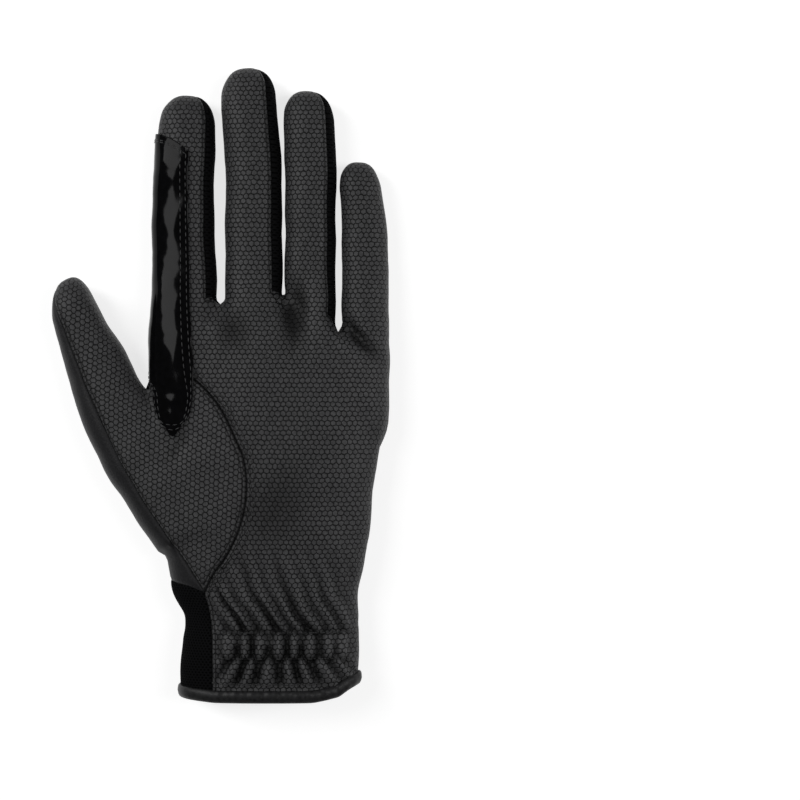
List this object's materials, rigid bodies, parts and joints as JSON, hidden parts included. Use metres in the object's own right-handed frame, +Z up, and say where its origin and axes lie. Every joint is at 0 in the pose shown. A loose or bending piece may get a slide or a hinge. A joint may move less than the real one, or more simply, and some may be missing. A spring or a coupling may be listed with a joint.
{
  "type": "horse riding glove",
  "caption": "Left hand's black riding glove, palm up: embossed palm, knitted finger sides, glossy rein patch and gathered wrist.",
  "frame": {"origin": "middle of the glove's box seen from above, at the level it rests on", "axes": "+Y from the cuff to the fingertips, +X towards the little finger, +Z up out of the palm"},
  "size_m": [0.1248, 0.2332, 0.0245],
  "materials": {
    "honeycomb_leather": "matt, embossed",
    "back_leather": "matt, fine grain",
    "knit_mesh": "knitted",
    "grain_leather": "satin, fine grain",
    "patent_leather": "patent, glossy",
    "binding_leather": "satin"
  },
  "bodies": {
    "root": {"palm_panel": "honeycomb_leather", "back_panel": "back_leather", "fourchette_index_middle": "knit_mesh", "fourchette_middle_ring": "knit_mesh", "fourchette_ring_little": "knit_mesh", "thumb_panel": "honeycomb_leather", "thumb_back": "grain_leather", "wrist_gusset": "knit_mesh", "index_patch": "patent_leather", "cuff_binding": "binding_leather"}
  },
  "joints": []
}
